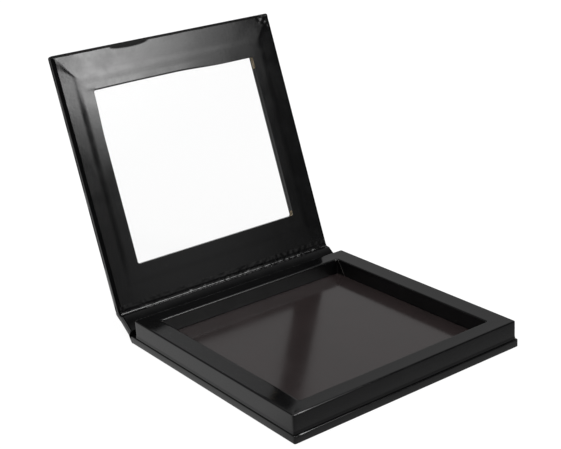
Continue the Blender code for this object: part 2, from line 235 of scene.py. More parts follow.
# Laminated paper: black printed art paper with a thin gloss film on it, used for every wrap.
# The film gives a clear but slightly rippled mirror over deep black. The ripple is the paper's
# own tooth under the film, drawn coarser than its 0.1 mm, and the film is drier over the glue.
def laminated_paper(name, deep, worn, roughness):
    """The wrap's finish. Deep is its black, and worn the black where the film is rubbed."""
    made, tree, values, place = surface(name, IOR=1.53)
    ripples = node(tree, "TexNoise", {"Vector": place, "Scale": 1 / (1.3 * mm), "Detail": 1.0})["Fac"]
    along_grain = node(tree, "VectorMath", {0: place, 1: (1.0, 0.2, 0.2)}, **product)[0]
    tooth = node(tree, "TexNoise", {"Vector": along_grain, "Scale": 1 / (0.45 * mm)})["Fac"]
    rub = node(tree, "TexNoise", {
        "Vector": place, "Scale": 1 / (9 * mm), "Detail": 4.0, "Roughness": 0.6,
    })["Fac"]
    rubbed = node(tree, "MapRange", {"Value": rub, "From Min": 0.42, "From Max": 0.72}, **smooth)["Result"]
    dust = node(tree, "MapRange", {"Value": tooth, "From Min": 0.77, "From Max": 0.81}, **smooth)["Result"]
    black = node(tree, "Mix", {"Factor": rubbed, 6: linear(deep), 7: linear(worn)}, **colours)[2]
    dusty = node(tree, "Mix", {"Factor": dust, 6: black, 7: linear("#2c2b2a")}, **colours)[2]
    tree.links.new(dusty, values["Base Color"])
    dryness = node(tree, "MapRange", {
        "Value": rub, "From Min": 0.3, "From Max": 0.7,
        "To Min": roughness - 0.02, "To Max": roughness + 0.03,
    }, **smooth)["Result"]
    tree.links.new(dryness, values["Roughness"])
    waves = node(tree, "Bump", {"Height": ripples, "Distance": 0.0040 * mm})["Normal"]
    skin = node(tree, "Bump", {"Height": tooth, "Distance": 0.0013 * mm, "Normal": waves})["Normal"]
    tree.links.new(skin, values["Normal"])
    return made


# Inside the well the paper was rubbed down hard while the glue was wet, which dulled its film
wrap_black = laminated_paper("gloss_laminated_art_paper", "#080809", "#0c0c0d", 0.09)
well_black = laminated_paper("glue_dulled_art_paper", "#080809", "#0b0b0c", 0.34)
liner_black = laminated_paper("gloss_laminated_liner_paper", "#080809", "#0d0d0e", 0.10)


# Base wrap: one sheet glued under the base board, turned up round its edges and in over its top,
# mitred at the corners. Its edges are rounded by the paper's thickness.
def rounded(corners, step, arc_steps=5):
    """A path through (across, up, radius) corners: stretches cut into steps, and an arc at each corner."""
    flat = [Vector(corner[:2]) for corner in corners]
    points = []
    for i, here in enumerate(flat):
        radius = corners[i][2]
        arc = [here]
        if radius:
            back = (flat[i - 1] - here).normalized()
            on = (flat[i + 1] - here).normalized()
            half = back.angle(on) / 2
            centre = here + (back + on).normalized() * radius / sin(half)
            spoke = here + back * radius / tan(half) - centre
            turn = (pi - 2 * half) * (1 if back.x * on.y - back.y * on.x < 0 else -1)
            arc = [centre + Matrix.Rotation(turn * k / arc_steps, 2) @ spoke for k in range(arc_steps + 1)]
        if points:
            last = points[-1]
            cuts = max(1, ceil((arc[0] - last).length / step))
            points.extend([last.lerp(arc[0], k / cuts) for k in range(1, cuts)])
        points.extend(arc)
    return points


def ring(low, high, radius, along, around):
    """Points round a rectangle with rounded corners, anticlockwise from its low corner."""
    corners = (
        (low[0] + radius, low[1] + radius, pi), (high[0] - radius, low[1] + radius, 1.5 * pi),
        (high[0] - radius, high[1] - radius, 0), (low[0] + radius, high[1] - radius, pi / 2),
    )
    turns = [i * pi / 2 / around for i in range(around + 1)]
    arcs = [
        [Vector((x + radius * cos(a + turn), y + radius * sin(a + turn))) for turn in turns]
        for x, y, a in corners
    ]
    points = []
    for arc, following in zip(arcs, arcs[1:] + arcs[:1]):
        points.extend(arc)
        points.extend(arc[-1].lerp(following[0], i / along) for i in range(1, along))
    return points


def paper_mesh(name, rows, thickness, material, closed=False, cap=False, remove=None, place=Matrix()):
    """A paper sheet through rows of points on its outer face, with its thickness behind it."""
    mesh = bpy.data.meshes.new(name)
    sheet = bmesh.new()
    grid = [[sheet.verts.new(point) for point in row] for row in rows]
    count = len(rows[0])
    for near, far in zip(grid, grid[1:]):
        for i in range(count if closed else count - 1):
            j = (i + 1) % count
            sheet.faces.new((near[i], near[j], far[j], far[i]))
    if cap:
        sheet.faces.new(grid[0][::-1])
    if remove:
        cut_out = [face for face in sheet.faces if remove(face.calc_center_median())]
        bmesh.ops.delete(sheet, geom=cut_out, context="FACES")
    sheet.normal_update()
    for edge in sheet.edges:
        edge.smooth = not edge.is_boundary
    sheet.to_mesh(mesh)
    sheet.free()
    mesh.transform(place)
    mesh.shade_smooth()
    mesh.materials.append(material)
    obj = bpy.data.objects.new(name, mesh)
    bpy.context.scene.collection.objects.link(obj)
    body = obj.modifiers.new("paper_thickness", "SOLIDIFY")
    body.thickness = thickness
    body.offset = -1
    body.use_even_offset = False
    return obj


# The waves start from a seed, so that they are the same in every run
noise.seed_set(5)
wave = 0.02 * mm


def buckle(point, size, amount=wave):
    """How far glued paper lies off flat at a point: slow waves of one size."""
    return noise.noise_vector(Vector(point) / size) * amount


def frame_rows(outer, inner, profile, outer_round, inner_round, shape, along=96, around=6):
    """Rings round a frame. The profile is (distance in from the outer edge, height) along one bar."""
    edge_share = 0.2
    least_round = 0.12 * mm
    most_spread = 0.6 * mm
    (out_low, out_high), (in_low, in_high) = outer, inner
    bar = min(abs(a - b) for a, b in zip((*out_low, *out_high), (*in_low, *in_high)))
    edge = edge_share * bar
    rows = []
    for across, up in profile:
        share = min(1, max(0, (across - edge) / (bar - 2 * edge)))
        left = bar - across
        low = [a + across + share * ((b - left) - (a + across)) for a, b in zip(out_low, in_low)]
        high = [a - across + share * ((b + left) - (a - across)) for a, b in zip(out_high, in_high)]
        round_out = max(outer_round - across, least_round)
        round_in = inner_round + min(left, most_spread)
        points = ring(low, high, round_out + share * (round_in - round_out), along, around)
        rows.append([shape(Vector((x, y, up)), across) for x, y in points])
    return rows


def inset(outline, reach):
    """A rectangle's low and high corners, moved in."""
    (left, front), (right, back) = outline
    return (left + reach, front + reach), (right - reach, back - reach)


def ease(value, low, high):
    """0 below a limit, 1 above another, smooth between."""
    share = min(1, max(0, (value - low) / (high - low)))
    return share * share * (3 - 2 * share)


base_low, base_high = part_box("base_wrap")
paper = 0.25 * mm
base_edge_round = 0.45 * mm
corner_round = 0.8 * mm
turn_in = 14 * mm
bottom_reach = 50 * mm
base_wave_size = 12 * mm
base_step = 2.4 * mm

# The front edges are pressed flat beside the left corner, where the folded paper lies thick
pressed_depth = 0.32 * mm
pressed_out = 0.8
pressed_up = 0.6
pressed_zone = 4 * mm
pressed_start = (0.6 * mm, 1.6 * mm)
pressed_end = (2.5 * mm, 11 * mm)


def pressed(point, across, low, top):
    """How a front edge is pressed in at a point, from its low corner and its top."""
    if point.y > low.y + pressed_zone or across < 0:
        return Vector()
    along = point.x - low.x
    share = ease(along, *pressed_start) * (1 - ease(along, *pressed_end))
    depth = share * max(0, pressed_depth - pressed_out * across - pressed_up * (top - point.z))
    return depth * Vector((0, pressed_out, -pressed_up))


def base_shape(point, across):
    """The base's paper waves, but not below the table."""
    moved = point + buckle(point, base_wave_size)
    if point.z > base_high.z / 2:
        moved += pressed(point, across, base_low, base_high.z)
    moved.z = max(moved.z, 0) if point.z > 0 else 0
    return moved


base_outline = (base_low.xy, base_high.xy)
base_profile = rounded([
    (bottom_reach, 0, 0), (0, 0, base_edge_round),
    (0, base_high.z, base_edge_round), (turn_in, base_high.z, 0),
], base_step)
base_rows = frame_rows(
    base_outline, inset(base_outline, bottom_reach), base_profile, corner_round, corner_round, base_shape,
)
base_wrap = paper_mesh("base_wrap_paper", base_rows, paper, wrap_black, closed=True, cap=True)
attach(base_wrap, "base")
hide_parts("base_wrap")
dress(["base_liner"], liner_black)


# Tray wrap: the four walls are glued up as one frame and wrapped outside, over the top and down
# the inside. The paper is slit at the inner corners and a tuck is folded into each.
tray_low, tray_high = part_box("tray_wrap")
left_board_low, left_board_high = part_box("tray_left_wall")
front_board_low, front_board_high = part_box("tray_front_wall")
rear_board_low, rear_board_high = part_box("tray_rear_wall")
well_low = (
    left_board_high.x + left_board_low.x - tray_low.x,
    front_board_high.y + front_board_low.y - tray_low.y,
)
well_high = (-well_low[0], rear_board_low.y + rear_board_high.y - tray_high.y)
bar_width = min(well_low[1] - tray_low.y, tray_high.y - well_high[1])
tray_edge_round = 0.65 * mm
tray_corner_round = 0.8 * mm
well_corner_round = 0.7 * mm
tray_wave_size = 14 * mm
tray_step = 0.9 * mm
tray_arc_steps = 10
top_sink = 0.05 * mm
skirt = 0.25 * mm
skirt_height = 1.2 * mm
skirt_round = 1.5 * mm


def tray_shape(point, across):
    """The tray's paper: slow waves, and a top that sinks a little between its edges."""
    moved = point + buckle(point, tray_wave_size)
    if point.z > tray_high.z - top_sink:
        moved.z -= top_sink * max(0, 1 - (2 * across / bar_width - 1) ** 2)
    return moved + pressed(point, across, tray_low, tray_high.z)


tray_profile = rounded([
    (-skirt, tray_low.z, 0), (0, tray_low.z + skirt_height, skirt_round), (0, tray_high.z, tray_edge_round),
    (bar_width, tray_high.z, tray_edge_round), (bar_width, tray_low.z, 0),
], tray_step, tray_arc_steps)
tray_rows = frame_rows(
    (tray_low.xy, tray_high.xy), (well_low, well_high), tray_profile,
    tray_corner_round, well_corner_round, tray_shape,
)
tray_wrap = paper_mesh("tray_wrap_paper", tray_rows, paper, wrap_black, closed=True)
tray_wrap.data.materials.append(well_black)
for face in tray_wrap.data.polygons:
    middle = face.center
    inside = abs(middle.x) < well_high[0] + paper and well_low[1] - paper < middle.y < well_high[1] + paper
    face.material_index = 1 if inside and middle.z < tray_high.z - tray_edge_round else 0
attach(tray_wrap, "base")
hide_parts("tray_wrap")

# Corner tucks: a folded gore of the same paper in each inner corner, narrow at the top. The knife
# left its edges grey: matt paper core, flecked where the black coating broke.
cut_edge, core, core_values, place = surface("cut_art_paper_core", IOR=1.47, Roughness=0.85)
flecks = node(core, "TexNoise", {"Vector": place, "Scale": 1 / (0.3 * mm), "Detail": 2.0})["Fac"]
broken = node(core, "MapRange", {"Value": flecks, "From Min": 0.4, "From Max": 0.6}, **smooth)["Result"]
grey = node(core, "Mix", {"Factor": broken, 6: linear("#4a4947"), 7: linear("#8d8b87")}, **colours)[2]
frayed = node(core, "Bump", {"Height": flecks, "Distance": 0.01 * mm})["Normal"]
core.links.new(grey, core_values["Base Color"])
core.links.new(frayed, core_values["Normal"])

sheet_low, sheet_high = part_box("magnet_sheet")
tuck_paper = 0.12 * mm
tuck_top = tray_high.z - 0.5 * mm
tuck_top_reach = 0.9 * mm
tuck_foot_reach = 5.2 * mm
tuck_top_lift = 0.18 * mm
tuck_foot_lift = 0.6 * tuck_top_lift
tuck_fold = 0.7 * mm
tuck_wave_size = 3 * mm
tuck_step = 0.4 * mm
tuck_rows = 12
for x_side, x_word in ((-1, "left"), (1, "right")):
    for y_side, y_word in ((-1, "front"), (1, "rear")):
        corner_x = well_low[0] if x_side < 0 else well_high[0]
        corner_y = well_low[1] if y_side < 0 else well_high[1]
        gore = []
        for i in range(tuck_rows + 1):
            fall = i / tuck_rows
            wide = tuck_top_reach + (tuck_foot_reach - tuck_top_reach) * fall
            lift = tuck_top_lift + (tuck_foot_lift - tuck_top_lift) * fall
            up = tuck_top + (sheet_high.z - tuck_top) * fall
            line = rounded([(wide, lift, 0), (lift, lift, tuck_fold), (lift, wide, 0)], tuck_step)
            row = []
            for a, b in (line if x_side * y_side < 0 else line[::-1]):
                flat_point = Vector((corner_x - x_side * a, corner_y - y_side * b, up))
                row.append(flat_point + buckle((a, b, up), tuck_wave_size))
            gore.append(row)
        tuck = paper_mesh(f"tray_corner_tuck_{y_word}_{x_word}", gore, tuck_paper, wrap_black)
        tuck.data.materials.append(cut_edge)
        tuck.modifiers["paper_thickness"].material_offset_rim = 1
        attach(tuck, "base")


# Magnetic sheet: ferrite powder in rubber, rolled out, die cut and stuck down with double-sided
# tape. Warm brown black with a satin skin, and faint lines along the way it was rolled.
magnet_rubber, rubber, rubber_values, place = surface("calendered_magnetic_rubber", IOR=1.78)
cloud = node(rubber, "TexNoise", {"Vector": place, "Scale": 1 / (14 * mm), "Detail": 4.0})["Fac"]
grains = node(rubber, "TexNoise", {"Vector": place, "Scale": 1 / (0.4 * mm)})["Fac"]
mottle = node(rubber, "MapRange", {"Value": cloud, "From Min": 0.35, "From Max": 0.65}, **smooth)["Result"]
grit = node(rubber, "MapRange", {"Value": grains, "From Min": 0.60, "From Max": 0.75}, **smooth)["Result"]
brown = node(rubber, "Mix", {"Factor": mottle, 6: linear("#322b2b"), 7: linear("#352d2d")}, **colours)[2]
gritty = node(rubber, "Mix", {"Factor": grit, 6: brown, 7: linear("#3a3332")}, **colours)[2]
rubber.links.new(gritty, rubber_values["Base Color"])
satin = node(rubber, "MapRange", {
    "Value": cloud, "From Min": 0.3, "From Max": 0.7, "To Min": 0.12, "To Max": 0.15,
}, **smooth)["Result"]
rubber.links.new(satin, rubber_values["Roughness"])
stretched = node(rubber, "VectorMath", {0: place, 1: (1.0, 0.04, 1.0)}, **product)[0]
rolled = node(rubber, "TexNoise", {"Vector": stretched, "Scale": 1 / (0.9 * mm), "Detail": 2.0})["Fac"]
lines = node(rubber, "Bump", {"Height": rolled, "Distance": 0.0012 * mm})["Normal"]
grain = node(rubber, "Bump", {"Height": grains, "Distance": 0.0012 * mm, "Normal": lines})["Normal"]
rubber.links.new(grain, rubber_values["Normal"])

sheet_body = 0.5 * mm
sheet_edge = 0.05 * mm
sheet_corner = 1.0 * mm
sheet_reach = 44 * mm
sheet_step = 2.2 * mm
swell = 0.03 * mm
swell_size = 26 * mm


def sheet_shape(point, across):
    """The rubber lies nearly flat, with slow swells."""
    return point + Vector((0, 0, swell * noise.noise(point / swell_size)))


sheet_outline = (sheet_low.xy, sheet_high.xy)
sheet_profile = rounded([
    (0, sheet_low.z, 0), (0, sheet_high.z, sheet_edge), (sheet_reach, sheet_high.z, 0),
], sheet_step)
sheet_rows = frame_rows(
    sheet_outline, inset(sheet_outline, sheet_reach), sheet_profile, sheet_corner, sheet_corner, sheet_shape,
)
magnet_sheet = paper_mesh(
    "magnetic_sheet_rubber", [row[::-1] for row in sheet_rows[::-1]], sheet_body, magnet_rubber,
    closed=True, cap=True,
)
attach(magnet_sheet, "base")
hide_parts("magnet_sheet")

# Double-sided tape: a tissue carrier with adhesive on both faces, which holds the magnetic sheet
# to the base. Milky, and mottled where the adhesive lies thick.
tape, tissue, tissue_values, place = surface("double_sided_tissue_tape", IOR=1.47, Roughness=0.55)
milk = node(tissue, "TexNoise", {"Vector": place, "Scale": 1 / (2.5 * mm), "Detail": 3.0})["Fac"]
thick = node(tissue, "MapRange", {"Value": milk, "From Min": 0.35, "From Max": 0.65}, **smooth)["Result"]
milky = node(tissue, "Mix", {"Factor": thick, 6: linear("#e0d9c6"), 7: linear("#efeadb")}, **colours)[2]
creased = node(tissue, "Bump", {"Height": milk, "Distance": 0.01 * mm})["Normal"]
tissue.links.new(milky, tissue_values["Base Color"])
tissue.links.new(creased, tissue_values["Normal"])
dress(["sheet_tape"], tape)

# Closure magnets: sintered discs, nickel plated and tumbled, in pockets in the tray's front wall
# and in the lid's board. A bright warm metal, finely scuffed.
nickel, plating, plating_values, place = surface("tumbled_nickel_plate", Metallic=1.0)
cast = node(plating, "TexNoise", {"Vector": place, "Scale": 1 / (1.2 * mm)})["Fac"]
scuffs = node(plating, "TexNoise", {"Vector": place, "Scale": 1 / (0.4 * mm), "Detail": 4.0})["Fac"]
warm = node(plating, "MapRange", {"Value": cast, "From Min": 0.4, "From Max": 0.6}, **smooth)["Result"]
metal = node(plating, "Mix", {"Factor": warm, 6: linear("#c4beb2"), 7: linear("#d2cdc3")}, **colours)[2]
scuffed = node(plating, "MapRange", {
    "Value": scuffs, "From Min": 0.35, "From Max": 0.7, "To Min": 0.18, "To Max": 0.34,
}, **smooth)["Result"]
scratched = node(plating, "Bump", {"Height": scuffs, "Distance": 0.001 * mm})["Normal"]
plating.links.new(metal, plating_values["Base Color"])
plating.links.new(scuffed, plating_values["Roughness"])
plating.links.new(scratched, plating_values["Normal"])
dress(["tray_magnet_left", "tray_magnet_right", "lid_magnet_left", "lid_magnet_right"], nickel)


# Spine: a narrow board in the same sheet as the base and the lid. The sheet bends in two creases,
# where it is glued to the liner between the boards. Its ends are turned in like a book's.
joints = {joint["name"]: joint for joint in frame["joints"]}
lower_axis = Vector(joints["spine_hinge"]["pos_m"])
upper_axis = Vector(joints["lid_hinge"]["pos_m"])
spine_lean = -radians(joints["spine_hinge"]["range_deg"][0])
lid_lean = spine_lean - radians(joints["lid_hinge"]["range_deg"][1])
spine_place = Matrix.Translation(lower_axis) @ Matrix.Rotation(-spine_lean, 4, "X")
lid_place = Matrix.Translation(upper_axis) @ Matrix.Rotation(-lid_lean, 4, "X")


def extent(name, place):
    """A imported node's low and high corners in a board's own axes: along the hinge, out, and up."""
    back = place.inverted()
    corners = [back @ v.co for v in frame["nodes"][name].data.vertices]
    return tuple(Vector([pick(c[i] for c in corners) for i in range(3)]) for pick in (min, max))


spine_low, spine_high = extent("spine_wrap", spine_place)
spine_face = extent("spine_liner", spine_place)[0].y
lid_low, lid_high = extent("lid_wrap", lid_place)
liner_low, liner_high = extent("lid_liner", lid_place)
liner_face = liner_low.y
liner_half = liner_high.x
half_width = base_high.x


def on_spine(up, out):
    """A point of the spine's section as back and up distances in the frame."""
    return (spine_place @ Vector((0, out, up))).yz


def on_lid(up, out):
    """A point of the lid's section as back and up distances in the frame."""
    return (lid_place @ Vector((0, out, up))).yz


def up_spine(steps, out):
    """Points up the spine's section. Out is one distance, for a share of the way up."""
    rise = spine_high.z - spine_low.z
    return [on_spine(spine_low.z + rise * i / steps, out(i / steps)) for i in range(steps + 1)]


case_wave_size = 9 * mm
end_turn_in = 14 * mm


def turned_in_rows(outside, inside, fold):
    """Rows across the case, top to bottom: the outer face, a fold at each end, and the turn-ins inside."""
    blunt_share = 0.45
    face_cuts = 40
    nose_cuts = 4
    turn_in_cuts = 6
    rows = []
    for out, back in reversed(list(zip(outside, inside))):
        depth = (back - out).length
        inward = (back - out) / depth
        nose = min(fold, blunt_share * depth)
        flat = half_width - nose
        bends = [i * pi / 2 / nose_cuts for i in range(nose_cuts + 1)]
        half_line = [(flat * i / face_cuts, 0) for i in range(face_cuts)]
        half_line += [(flat + nose * sin(a), nose - nose * cos(a)) for a in bends]
        half_line += [(flat + nose * cos(a), depth - nose + nose * sin(a)) for a in bends]
        half_line += [
            (flat - (end_turn_in - nose) * i / turn_in_cuts, depth) for i in range(1, turn_in_cuts + 1)
        ]
        whole = [(-x, d) for x, d in reversed(half_line[1:])] + half_line
        rows.append([
            Vector((x, *(out + inward * d))) + buckle((x, out.x, out.y), case_wave_size) for x, d in whole
        ])
    return rows


spine_fold = 0.45 * mm
spine_steps = 7
spine_rows = turned_in_rows(
    up_spine(spine_steps, lambda share: spine_high.y), up_spine(spine_steps, lambda share: spine_low.y),
    spine_fold,
)
spine_wrap = paper_mesh("spine_wrap_paper", spine_rows, paper, wrap_black)
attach(spine_wrap, "spine")
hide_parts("spine_wrap")

strip_wave_size = 7 * mm
gather_size = 1.5 * mm
strip_spacing = 2 * mm


def strip_rows(path, spacing=strip_spacing, ripple=wave, gather=0):
    """Rows across the case on a path, for a liner with plain cut ends. Gather is its fine wrinkles."""
    count = ceil(2 * liner_half / spacing)
    rows = []
    for point in path:
        flat = [Vector((-liner_half + 2 * liner_half * i / count, *point)) for i in range(count + 1)]
        rows.append([p + buckle(p, strip_wave_size, ripple) + buckle(p, gather_size, gather) for p in flat])
    return rows


# The spine's liner bulges a little between the creases
spine_liner_paper = 0.2 * mm
spine_bulge = 0.18 * mm
bulge_steps = 14
spine_liner_path = up_spine(bulge_steps, lambda share: spine_face - spine_bulge * (1 - (2 * share - 1) ** 2))
spine_liner = paper_mesh("spine_liner_paper", strip_rows(spine_liner_path), spine_liner_paper, liner_black)
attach(spine_liner, "spine")
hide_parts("spine_liner")


# Lower crease: the wrap rolls round the back of the base and up to the spine, and the liner dips
# in to meet it. Both are glued paper to paper.
def even(path, count):
    """A path's points spaced evenly along it."""
    shortest = 1e-9
    lengths = [0]
    for a, b in zip(path, path[1:]):
        lengths.append(lengths[-1] + (Vector(b) - Vector(a)).length)
    points = []
    at = 0
    for i in range(count):
        want = lengths[-1] * i / (count - 1)
        while at < len(path) - 2 and lengths[at + 1] < want:
            at += 1
        share = (want - lengths[at]) / max(lengths[at + 1] - lengths[at], shortest)
        points.append(Vector(path[at]).lerp(Vector(path[at + 1]), min(1, share)))
    return points


def curve(start, leave, arrive, end, count):
    """A smooth curve from one point to another by two handles."""
    points = []
    for i in range(count):
        t = i / (count - 1)
        s = 1 - t
        points.append(s ** 3 * start + 3 * s * s * t * leave + 3 * s * t * t * arrive + t ** 3 * end)
    return points


base_back = base_high.y
base_top = base_high.z
base_edge = base_back - base_edge_round
crease_paper = 0.2 * mm
crease_fold = 0.2 * mm
crease_liner_paper = 0.15 * mm
crease_gap = 0.25 * mm
crease_rows = 15
inside_step = 0.4 * mm
roll_out = 1.5 * mm
roll_up = 0.9 * mm
wrap_dip = 1.15 * mm
lower_outside = curve(
    Vector((base_edge, 0)), Vector((base_edge + roll_out, 0)),
    on_spine(spine_low.z - roll_up, spine_high.y), on_spine(spine_low.z, spine_high.y), crease_rows,
)
lower_inside = even(rounded([
    (base_edge, base_top - paper, 0),
    (base_back + 0.10 * mm, base_top - paper, 0.3 * mm),
    (base_back + 0.25 * mm, wrap_dip, 0.2 * mm),
    (*on_spine(spine_low.z - 0.2 * mm, -0.6 * mm), 0.3 * mm),
    (*on_spine(spine_low.z - 0.1 * mm, spine_low.y), 0.05 * mm),
    (*on_spine(spine_low.z + 0.1 * mm, spine_low.y), 0),
], inside_step), crease_rows)
lower_crease = paper_mesh(
    "lower_crease_wrap", turned_in_rows(lower_outside, lower_inside, crease_fold), crease_paper, wrap_black,
)
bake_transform(lower_crease)
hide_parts("lower_hinge_crease")

tray_lap = 0.6 * mm
spine_lap = 0.8 * mm
over_base = 0.03 * mm
over_spine = 0.01 * mm
liner_dip = 1.6 * mm
lower_liner_step = 0.5 * mm
lower_liner_path = rounded([
    (tray_high.y - tray_lap, base_top + over_base, 0),
    (base_back + 0.35 * mm, base_top + over_base, 0.35 * mm),
    (base_back + 0.5 * mm, liner_dip, 0.2 * mm),
    (*on_spine(spine_low.z - crease_gap, -0.9 * mm), 0.25 * mm),
    (*on_spine(spine_low.z - crease_gap, spine_face), 0.35 * mm),
    (*on_spine(spine_low.z + spine_lap, spine_face - over_spine), 0),
], lower_liner_step)
lower_liner = paper_mesh(
    "lower_crease_liner", strip_rows(lower_liner_path), crease_liner_paper, liner_black,
)
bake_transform(lower_liner)

# Upper crease: the same between the spine and the lid. The liner's fold under the lid's inner
# edge is what catches the light along the hinge.
lid_foot = lid_low.z
lid_edge_round = 0.5 * mm
lid_edge = lid_foot + lid_edge_round
leave_spine = 1.5 * mm
reach_lid = 1.3 * mm
upper_outside = curve(
    on_spine(spine_high.z, spine_high.y), on_spine(spine_high.z + leave_spine, spine_high.y),
    on_lid(lid_edge - reach_lid, lid_high.y), on_lid(lid_edge, lid_high.y), crease_rows,
)
upper_inside = even(rounded([
    (*on_spine(spine_high.z - 0.1 * mm, spine_low.y), 0),
    (*on_spine(spine_high.z + 0.3 * mm, spine_low.y + 0.3 * mm), 0.3 * mm),
    (*on_lid(lid_foot - 0.3 * mm, lid_low.y + 0.35 * mm), 0.3 * mm),
    (*on_lid(lid_edge, lid_low.y), 0),
], inside_step), crease_rows)
upper_crease = paper_mesh(
    "upper_crease_wrap", turned_in_rows(upper_outside, upper_inside, crease_fold), crease_paper, wrap_black,
)
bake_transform(upper_crease)
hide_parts("upper_hinge_crease")

bead_top = lid_foot - 0.30 * mm
bead_foot = lid_foot - 0.75 * mm
over_lid = 0.04 * mm
lid_lap = 3.2 * mm
bead_step = 0.3 * mm
bead_spacing = 0.6 * mm
bead_ripple = 0.05 * mm
upper_liner_path = rounded([
    (*on_spine(spine_high.z - spine_lap, spine_face - over_spine), 0),
    (*on_spine(spine_high.z + crease_gap, spine_face), 0.3 * mm),
    (*on_spine(spine_high.z + crease_gap, spine_face + 1.0 * mm), 0.25 * mm),
    (*on_lid(bead_foot - 0.15 * mm, liner_face + 0.5 * mm), 0.25 * mm),
    (*on_lid(bead_foot, liner_face - 0.14 * mm), 0.3 * mm),
    (*on_lid(bead_top, liner_face + 0.02 * mm), 0.3 * mm),
    (*on_lid(lid_foot + 0.5 * mm, liner_face + 0.05 * mm), 0.3 * mm),
    (*on_lid(lid_foot + 1.5 * mm, liner_face - over_lid), 1.0 * mm),
    (*on_lid(lid_foot + lid_lap, liner_face - over_lid), 0),
], bead_step)
upper_liner = paper_mesh(
    "upper_crease_liner", strip_rows(upper_liner_path, bead_spacing, bead_ripple, bead_ripple),
    crease_liner_paper, liner_black,
)
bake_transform(upper_liner)


# Lid wrap: the same sheet over the lid's outer board, through the window down to the film, round
# the lid's edges and in under the liner. Its window flanges stop short of the corners, where the
# board shows.
film_low, film_high = extent("window_film", lid_place)
film_overlap = 6 * mm
film_clearance = 0.05 * mm
past_film = 1.0 * mm
window_low = (film_low.x + film_overlap, film_low.z + film_overlap)
window_high = (film_high.x - film_overlap, film_high.z - film_overlap)
window_round = 1.0 * mm
lid_bar = window_low[0] + half_width
lid_outline = ((-half_width, lid_low.z), (half_width, lid_high.z))
lid_window = (window_low, window_high)
lid_corner_round = 1.0 * mm
lid_wave_size = 13 * mm
window_edge_round = 0.35 * mm
turned_edge_round = 0.15 * mm
edge_middle = 0.2 * mm
pressed_width = 2.9 * mm
lid_turn_in = 9.5 * mm
face_step = 1.4 * mm
pressed_step = 0.3 * mm

# The strip of wrap that shows round the liner slopes where it was pressed
side_strip = 1.7 * mm
end_strip = 1.3 * mm
under_liner = 0.4 * mm
side_slope = 0.17
end_slope = 0.28
crumple_height = 0.22 * mm
crumple_size = 1.6 * mm
crumple_zone = (9 * mm, 3 * mm)

# The window's corners, left and right at the foot and then at the top, and how far along and up the
# flanges are cut back from each
window_corners = [(x, z) for z in (window_low[1], window_high[1]) for x in (window_low[0], window_high[0])]
corner_cuts = ((1.0 * mm, 1.2 * mm), (1.0 * mm, 2.4 * mm), (1.2 * mm, 1.0 * mm), (1.3 * mm, 6.8 * mm))
flange_zone = 0.75 * mm


def lid_axes(rows, facing=1):
    """Rings drawn flat, set up in the lid's own axes: along, out, up."""
    return [[Vector((p.x, facing * p.z, p.y)) for p in row] for row in rows]


def at_bare_corner(near, far):
    """A test for a flange face that lies at a window corner where the paper was cut back."""
    def test(centre):
        if not near < centre.y < far:
            return False
        for (corner_x, corner_z), (reach_x, reach_z) in zip(window_corners, corner_cuts):
            off_x = abs(centre.x - corner_x)
            off_z = abs(centre.z - corner_z)
            if (off_x < flange_zone and off_z < reach_z) or (off_z < flange_zone and off_x < reach_x):
                return True
        return False
    return test


def crumple(x, up):
    """Fine wrinkles where the paper is gathered round the lid's far right corner."""
    share = ease(Vector((x - half_width, up - lid_high.z)).length, *crumple_zone)
    return share * crumple_height * noise.noise(Vector((x, up, 0)) / crumple_size) if share else 0


def lid_shape(point, across):
    """The lid's paper: slow waves, and the sloping strip along the edges of its inner face."""
    moved = point + buckle(point, lid_wave_size)
    if point.z < 0:
        from_end = min(lid_high.z - point.y, point.y - lid_low.z)
        side = (side_strip + under_liner - (half_width - abs(point.x))) * side_slope
        end = (end_strip + under_liner - from_end) * end_slope
        moved.z += max(side, end, 0) - crumple(point.x, point.y)
    return moved


lid_profile = rounded([
    (lid_bar, film_high.y + film_clearance, 0), (lid_bar, lid_high.y, window_edge_round),
    (0, lid_high.y, lid_edge_round), (0, 0, 0),
], face_step)
lid_profile += rounded([
    (0, -edge_middle, 0), (0, lid_low.y, turned_edge_round), (pressed_width, lid_low.y, 0),
], pressed_step)
lid_profile.append(Vector((lid_turn_in, lid_low.y)))
lid_rows = frame_rows(lid_outline, lid_window, lid_profile, lid_corner_round, window_round, lid_shape)
lid_wrap = paper_mesh(
    "lid_wrap_paper", lid_axes(lid_rows), paper, wrap_black, closed=True, place=lid_place,
    remove=at_bare_corner(film_high.y - past_film, lid_high.y - window_edge_round),
)
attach(lid_wrap, "lid")
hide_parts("lid_wrap")

# Window film: clear polyester sheet, cut larger than the window and glued between the two boards.
# It gives the eye little but a faint grey haze and soft, slightly sagging reflections.
film, clear, clear_values, place = surface("clear_polyester_film", IOR=1.57, Alpha=0.04)
clear_values["Base Color"].default_value = linear("#6f7476")
haze = node(clear, "TexNoise", {"Vector": place, "Scale": 1 / (6 * mm), "Detail": 4.0})["Fac"]
sag = node(clear, "TexNoise", {"Vector": place, "Scale": 1 / (18 * mm)})["Fac"]
hazy = node(clear, "MapRange", {
    "Value": haze, "From Min": 0.3, "From Max": 0.7, "To Min": 0.03, "To Max": 0.07,
}, **smooth)["Result"]
sagging = node(clear, "Bump", {"Height": sag, "Distance": 0.01 * mm})["Normal"]
clear.links.new(hazy, clear_values["Roughness"])
clear.links.new(sagging, clear_values["Normal"])
dress(["window_film"], film)

